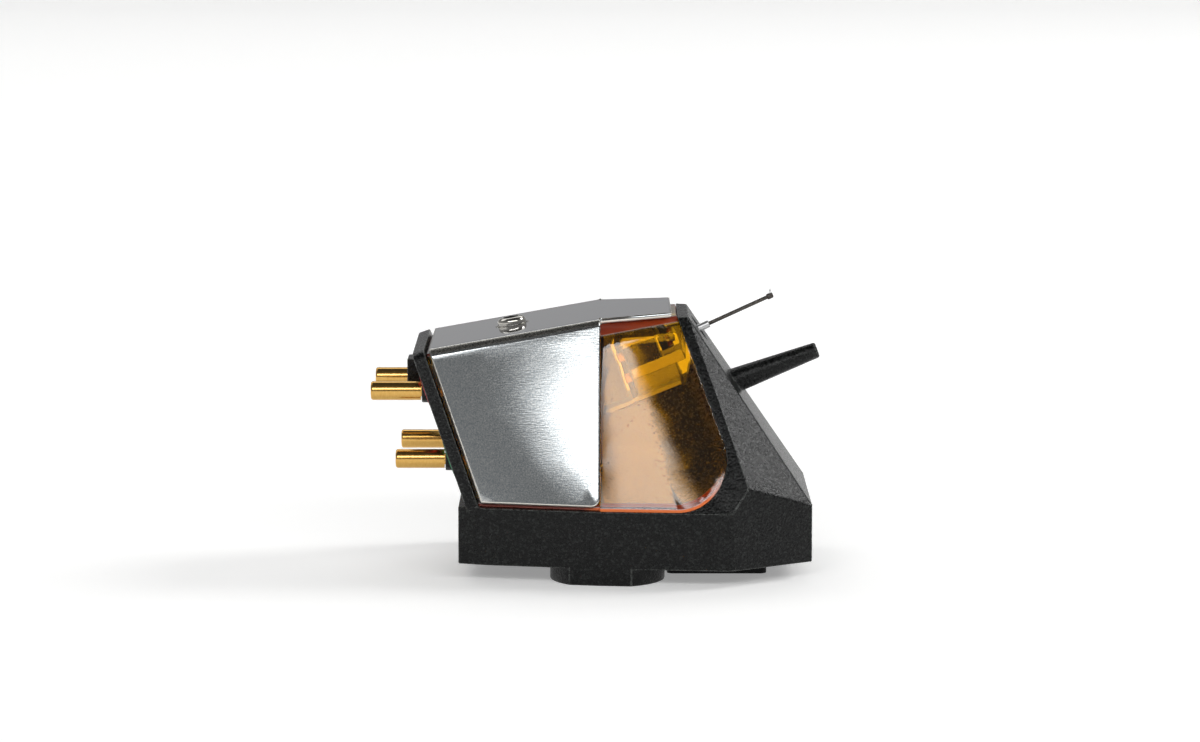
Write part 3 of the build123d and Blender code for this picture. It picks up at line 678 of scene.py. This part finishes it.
def screw_mesh(node):
    """Turned screw: radius = outer - depth |2 phase - 1|^1.5, phase = along / pitch - t / 2 pi.

    Flat end, threaded shank, plain neck, round rim and a hexagon socket are one grid of radii.
    """
    pitch_mm, thread_mm, bevel_mm, round_mm, plain_mm = 0.4, 0.045, 0.14, 0.3, 1.1
    socket_half_mm, socket_deep_mm, mouth_mm, mouth_flare = 0.475, 0.7, 0.03, 1.06
    thread_power, shank_rings, steps = 1.5, 140, 96
    points, middle = node_points(node)
    axis = np.linalg.svd(points - points.mean(0), full_matrices=False)[2][0]
    axis = axis * np.sign(axis[2])
    reach = (points - middle) @ axis
    across = np.linalg.norm((points - middle) - reach[:, None] * axis, axis=1)
    bottom, top, outer = reach.min(), reach.max(), across.max()
    turn = 2 * pi * np.arange(steps) / steps
    shank = np.linspace(bottom + bevel_mm * MM, top - round_mm * MM, shank_rings)
    phase = (shank[:, None] / (pitch_mm * MM) - turn / (2 * pi)) % 1
    plain = np.clip((shank - (top - plain_mm * MM)) / (pitch_mm * MM), 0, 1)[:, None]
    thread = outer - (1 - plain) * thread_mm * MM * np.abs(2 * phase - 1) ** thread_power
    ends = np.ones((1, steps))
    hexagon = polygon_radius(turn, 6, socket_half_mm * MM)[None, :]
    bend = np.linspace(0, pi / 2, round_steps)[1:]
    rim = outer - round_mm * MM * (1 - np.cos(bend))
    along = np.concatenate([
        [bottom], shank, top - round_mm * MM * (1 - np.sin(bend)),
        [top, top - mouth_mm * MM, top - socket_deep_mm * MM],
    ])
    radius = np.concatenate([
        ends * (outer - bevel_mm * MM), thread, rim[:, None] * ends,
        hexagon * mouth_flare, hexagon, hexagon,
    ])
    return turned_mesh(f"{node}_turned", middle, axis, along, radius)


screw = screw_mesh("set_screw")
place_piece(bpy.data.objects.new(screw.name, screw), "set_screw", finish[slot_of["set_screw"]])
print("screw faces", len(screw.polygons))

# %% [markdown]
# ## Inner web
# Behind the clear cover the moulding is closed by a web along the middle, which carries the
# generator. It flares out in a wide hollow curve to the plinth and to the front frame, as a
# moulder rounds an inner corner, so the amber shows a dark bowl. Its rim is specked pale as
# painted light. A block could be bevelled to this, but the curve follows a slanted frame and a
# round corner at once. So the web is a grid over the side view: its half thickness grows from thin
# in the middle to the full width of the cover at the bowl's edge. Its rear part is painted pale,
# as painted light where it shows through the amber's wide reflection and warms it. Its resin is a
# paler copy of the moulding's: painted light as well.

# %% Web


def ruled_half(x, z):
    """Half width of the housing in mm: straight lines run from foot to crown, and along it."""
    foot_z, crown_z, joint_x, joint_lean = 4.85, 17.1, -0.48, 4.0
    foot_half, foot_spread, crown_half, crown_taper = 9.47, 0.1, 5.88, 0.46
    up = (z - foot_z) / (crown_z - foot_z)
    foot = foot_half + (x - joint_x + joint_lean * up) * foot_spread
    crown = crown_half - (x - joint_x) * crown_taper
    return foot + (crown - foot) * up


def web_painted_light(x, z, share):
    """Painted light on the web: pale evenly behind the line x = line - slope z, speckled at its
    rim.
    """
    line_x, line_slope, line_blend, even = 6.3, 0.3, 1.5, 40
    rim_from, rim_blend, speckled = 0.7, 0.2, 0.5
    behind = np.clip((line_x - line_slope * z - x) / line_blend, 0, 1)
    return even * behind ** 3 + speckled * np.clip((share - rim_from) / rim_blend, 0, 1)


def web_mesh(name, thin, levels, rears, ends):
    """Two sheets y = -h and y = +h over the side view, closed all round.

    On a grid of s and t, z rises through the levels with t, and x = rear(z) + s (end(z) - rear(z)).
    h = thin + (wide - thin) (1 - sqrt(1 - (1 - d / bowl)^2)), d the distance in from the edge.
    """
    foot_z, bowl, corner, wall, tuck = 4.8, 4.2, 3.2, 1.4, 0.5
    front_x, front_z, lean = 4.55, 16.82, np.tan(radians(21.0))
    across_steps, up_steps, sharp_turn = 56, 64, radians(40)
    s, t = np.meshgrid(np.linspace(0, 1, across_steps), np.linspace(0, 1, up_steps))
    z = levels[0] + t * (levels[-1] - levels[0])
    front = front_x + (front_z - z) * lean
    rear = np.interp(z, levels, rears)
    x = rear + s * (np.minimum(front + tuck, np.interp(z, levels, ends)) - rear)
    over = (front - x) * np.cos(np.arctan(lean))
    under = z - foot_z
    inside = np.hypot(np.clip(corner - over, 0, None), np.clip(corner - under, 0, None))
    edge = np.minimum(np.minimum(over, under), corner - inside)
    share = 1 - np.clip(edge / bowl, 0, 1)
    wide = ruled_half(x, z) - wall
    half = thin + (wide - thin) * (1 - np.sqrt(1 - share ** 2))
    near = np.stack([x, -half, z], -1)
    far = np.stack([x, half, z], -1)
    loop = np.concatenate([near, far[:, ::-1]], 1) * MM
    rows, columns = loop.shape[:2]
    row, column = np.meshgrid(np.arange(rows - 1), np.arange(columns), indexing="ij")
    beside = (column + 1) % columns
    sides = np.stack([row * columns + column, row * columns + beside, (row + 1) * columns + beside,
                      (row + 1) * columns + column], -1).reshape(-1, 4)
    step = np.arange(columns // 2 - 1)
    low = np.stack([step, columns - 1 - step, columns - 2 - step, step + 1], -1)
    high = low[:, ::-1] + (rows - 1) * columns
    mesh = bpy.data.meshes.new(name)
    mesh.from_pydata(
        loop.reshape(-1, 3).tolist(), [], sides.tolist() + low.tolist() + high.tolist())
    # painted light: the web is painted pale at its rear and speckled pale at its rim
    painted_web_light = web_painted_light(x, z, share)
    wear_and_painted_light = np.concatenate([painted_web_light, painted_web_light[:, ::-1]], 1).ravel()
    mesh.attributes.new("wear_and_painted_light", "FLOAT", "POINT").data.foreach_set("value", wear_and_painted_light)
    mesh.polygons.foreach_set("use_smooth", np.ones(len(mesh.polygons), bool))
    mesh.set_sharp_from_angle(angle=sharp_turn)
    return mesh


# painted light: the inside resin is a paler copy of the black moulding, as if lit through the amber
painted_lit_inner_resin = glass_filled_resin("glass_filled_resin_painted_lit_inside", "#242422", "#7C7B75", "#C8BFA8")
up_to_the_front = 20
webs = (
    web_mesh("front_web", thin=2.0, levels=(4.8, 10.1, 10.15, 11.75, 12.0, 13.4),
             rears=(-0.4, -0.4, 0.4, 4.4, 5.1, 5.3), ends=(up_to_the_front,) * 6),
    web_mesh("rear_web", thin=0.6, levels=(10.5, 10.95, 11.2, 13.4, 14.6, 15.3),
             rears=(-0.4,) * 6, ends=(-0.05, 1.15, 1.2, 0.35, -0.12, -0.35)),
)
for web_form in webs:
    web = bpy.data.objects.new(web_form.name, web_form)
    bpy.context.scene.collection.objects.link(web)
    web_form.materials.append(painted_lit_inner_resin)
    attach(web, "cartridge")
    print(web_form.name, "faces", len(web_form.polygons))

# %% [markdown]
# ## Camera
# The view was worked out from the photograph: a long lens, level from side to side, looking down
# by a few degrees. A long lens flattens depth, which is why near and far pins lie close together.
# A camera can be aimed by eye, but here its place and lens follow from points on the object.

# %% Camera
sensor_mm, focal_pixels, image_pixels, look_down = 36.0, 4560.0, 1200.0, 7.7
camera_at_mm, nearest_m = (-0.48, -299.9, 53.3), 0.01
camera = bpy.data.objects.new("camera", bpy.data.cameras.new("camera"))
camera.data.sensor_width = sensor_mm
camera.data.sensor_fit = "HORIZONTAL"
camera.data.lens = focal_pixels / image_pixels * sensor_mm
camera.data.clip_start = nearest_m
camera.location = np.array(camera_at_mm) * MM
camera.rotation_euler = (radians(90 - look_down), 0, 0)
bpy.context.scene.collection.objects.link(camera)
bpy.context.scene.camera = camera
print("lens mm", round(camera.data.lens, 1))

# %% [markdown]
# ## Softboxes
# Steel and clear plastic show what stands round them, so the studio is made of large soft lights.
# A wide one stands in front, high above the lens: the amber shows it as a cream patch. A round
# one beside it is the white bloom on the steel panel. A bright one lights the front from the
# right, and two weak ones stand behind. An area lamp has a hard border, which a mirror shows, so
# each softbox is a glowing mesh that fades to clear at its edge and hides none behind it. The
# camera itself doesn't see them.

# %% Softboxes


def softbox_cloth(name, strength):
    """Glow of a softbox: white light where the attribute fade is 1, open air where it is 0."""
    cloth = bpy.data.materials.new(f"{name}_cloth")
    cloth.use_nodes = True
    tree = cloth.node_tree
    tree.nodes.clear()
    fade = add_node(tree, "ShaderNodeAttribute", attribute_name="fade")
    glow = add_node(tree, "ShaderNodeEmission", {
        "Color": linear("#FFFFFF"), "Strength": strength,
    })
    open_air = add_node(tree, "ShaderNodeBsdfTransparent")
    veil = add_node(tree, "ShaderNodeMixShader", {
        0: fade.outputs["Fac"], 1: open_air.outputs["BSDF"], 2: glow.outputs["Emission"],
    })
    add_node(tree, "ShaderNodeOutputMaterial", {"Surface": veil.outputs["Shader"]})
    return cloth


def softbox(name, azimuth, elevation, distance, width, height, strength, edge):
    """Rectangle with round ends that faces the origin: distance * back + x * side + y * up.

    Azimuth and elevation are in degrees, lengths in metres. The glow fades in from the border as
    3 q^2 - 2 q^3, where q is the distance in from it over the share, edge, of the height.
    """
    columns, rows = 33, 17
    turn, rise = radians(azimuth), radians(elevation)
    back = np.array([sin(turn) * cos(rise), -cos(turn) * cos(rise), sin(rise)])
    side = np.array([cos(turn), sin(turn), 0.0])
    up = np.cross(back, side)
    x, y = np.meshgrid(np.linspace(-1, 1, columns), np.linspace(-1, 1, rows))
    across, along = x[:, :, None] * width / 2 * side, y[:, :, None] * height / 2 * up
    points = (distance * back + across + along).reshape(-1, 3)
    row, column = np.meshgrid(np.arange(rows - 1), np.arange(columns - 1), indexing="ij")
    first = (row * columns + column).ravel()
    quads = np.stack([first, first + 1, first + columns + 1, first + columns], -1)
    mesh = bpy.data.meshes.new(name)
    mesh.from_pydata(points.tolist(), [], quads.tolist())
    corner = min(width, height) / 2
    past = np.hypot(np.clip(np.abs(x) * width / 2 - width / 2 + corner, 0, None),
                    np.clip(np.abs(y) * height / 2 - height / 2 + corner, 0, None))
    share = np.clip((corner - past) / (edge * height), 0, 1)
    fade = (share ** 2 * (3 - 2 * share)).ravel()
    mesh.attributes.new("fade", "FLOAT", "POINT").data.foreach_set("value", fade)
    mesh.materials.append(softbox_cloth(name, strength))
    panel = bpy.data.objects.new(name, mesh)
    bpy.context.scene.collection.objects.link(panel)
    panel.visible_camera = False


# name, azimuth, elevation, distance, width, height, strength, share of the height that fades
softboxes = (
    ("key_softbox", 5, 33.0, 0.9, 1.5, 0.26, 5.4, 0.25),
    ("panel_softbox", -17, 26.5, 0.85, 0.34, 0.34, 5.0, 0.5),
    ("right_softbox", 106, 35, 0.9, 0.42, 0.38, 11.0, 0.2),
    ("back_left_softbox", -125, 42, 0.9, 0.5, 0.5, 1.8, 0.2),
    ("back_softbox", 180, 45, 0.9, 1.2, 0.4, 1.8, 0.2),
)
for row in softboxes:
    softbox(*row)
print("softboxes", len(softboxes))

# %% [markdown]
# ## Floor
# The floor is white card. Stronger lamps could make it white, but they would wash out the object
# too. So it has a little light of its own, seen by camera, glossy and transmission rays alike,
# which brings it up to the pale ground of the view and keeps the shadow. Under the part this
# light is weaker, so the shadow stays deep where the bosses stand.

# %% Floor


def white_card():
    """Matt card with a faint grain, and a light of its own that is weaker in an oval."""
    grain_mm, oval_y_mm, oval_squeeze, dim_mm, full_mm = 0.6, 6, 0.66, 6, 12
    material, tree, shader, place = start_material("white_card", {
        "Roughness": 0.9, "Specular IOR Level": 0.1, "Emission Color": linear("#FFFFFF"),
    })
    grain = add_node(tree, "ShaderNodeTexNoise", {"Vector": place, "Scale": per_metre(grain_mm)})
    tone = add_node(tree, "ShaderNodeMix", {
        0: grain.outputs["Fac"], 6: linear("#F3F3F2"), 7: linear("#F8F8F7"),
    }, data_type="RGBA")
    tree.links.new(tone.outputs[2], shader.inputs["Base Color"])
    rays = add_node(tree, "ShaderNodeLightPath")
    seen = add_node(tree, "ShaderNodeMath", {
        0: rays.outputs["Is Camera Ray"], 1: rays.outputs["Is Glossy Ray"],
    }, operation="MAXIMUM")
    seen = add_node(tree, "ShaderNodeMath", {
        0: seen.outputs["Value"], 1: rays.outputs["Is Transmission Ray"],
    }, operation="MAXIMUM")
    oval = add_node(tree, "ShaderNodeMapping", {
        "Vector": place, "Location": (0, oval_y_mm * MM, 0), "Scale": (oval_squeeze, 1.0, 1.0),
    })
    away = add_node(tree, "ShaderNodeVectorMath", {0: oval.outputs["Vector"]}, operation="LENGTH")
    glow = add_node(tree, "ShaderNodeMapRange", {
        "Value": away.outputs["Value"], "From Min": dim_mm * MM, "From Max": full_mm * MM,
        "To Min": 0.29, "To Max": 0.36,
    })
    own_light = add_node(tree, "ShaderNodeMath", {
        0: seen.outputs["Value"], 1: glow.outputs["Result"],
    }, operation="MULTIPLY")
    tree.links.new(own_light.outputs["Value"], shader.inputs["Emission Strength"])
    return material


floor_reach = 4.0
floor_corners = [(x * floor_reach, y * floor_reach, 0.0)
                 for x, y in ((-1, -1), (1, -1), (1, 1), (-1, 1))]
floor_mesh = bpy.data.meshes.new("floor")
floor_mesh.from_pydata(floor_corners, [], [(0, 1, 2, 3)])
floor_mesh.materials.append(white_card())
floor = bpy.data.objects.new("floor", floor_mesh)
bpy.context.scene.collection.objects.link(floor)
print("floor, metres across", 2 * floor_reach)

# %% [markdown]
# ## World
# Round the softboxes a studio is dim. One even grey would fill every shadow alike, so the world
# is paler near the horizon, where the walls are, darker overhead, and a little darker in front.

# %% World
world = bpy.data.worlds.new("studio")
bpy.context.scene.world = world
world.use_nodes = True
world.node_tree.nodes.clear()
direction = add_node(world.node_tree, "ShaderNodeTexCoord").outputs["Generated"]
parts = add_node(world.node_tree, "ShaderNodeSeparateXYZ", {"Vector": direction})
by_height = add_node(world.node_tree, "ShaderNodeMapRange", {
    "Value": parts.outputs["Z"], "To Min": 0.42, "To Max": 0.06,
})
by_front = add_node(world.node_tree, "ShaderNodeMapRange", {
    "Value": parts.outputs["Y"],
    "From Min": -1.0, "From Max": 0.2, "To Min": 0.75, "To Max": 1.0,
})
level = add_node(world.node_tree, "ShaderNodeMath", {
    0: by_height.outputs["Result"], 1: by_front.outputs["Result"],
}, operation="MULTIPLY")
sky = add_node(world.node_tree, "ShaderNodeBackground", {
    "Color": linear("#FFFFFF"), "Strength": level.outputs["Value"],
})
add_node(world.node_tree, "ShaderNodeOutputWorld", {"Surface": sky.outputs["Background"]})
bpy.context.scene.view_settings.view_transform = "Standard"
print("world nodes", len(world.node_tree.nodes))
